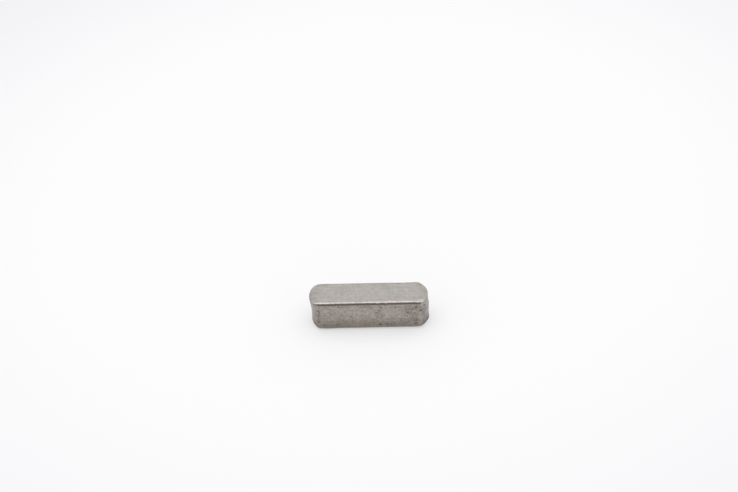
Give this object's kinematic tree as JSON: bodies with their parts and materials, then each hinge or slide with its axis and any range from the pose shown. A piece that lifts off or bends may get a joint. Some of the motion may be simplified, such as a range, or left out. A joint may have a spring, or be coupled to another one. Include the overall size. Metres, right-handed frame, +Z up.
{
  "type": "parallel key",
  "caption": "Square steel parallel key with arc-rounded ends and chamfered long edges, seated in the keyways of a shaft and hub to carry torque.",
  "frame": {"origin": "centre of the bottom face, the face that seats on the floor of the shaft's keyway", "axes": "+X along the key's length, +Y across its width to one flank, +Z up from the bottom face to the top face"},
  "size_m": [0.014, 0.004, 0.004],
  "materials": {
    "steel": "dull grey drawn steel, satin on the flats, faintly pitted and stained on the flanks, burnished along the chamfers"
  },
  "bodies": {
    "root": {"parallel_key": "steel"}
  },
  "joints": []
}
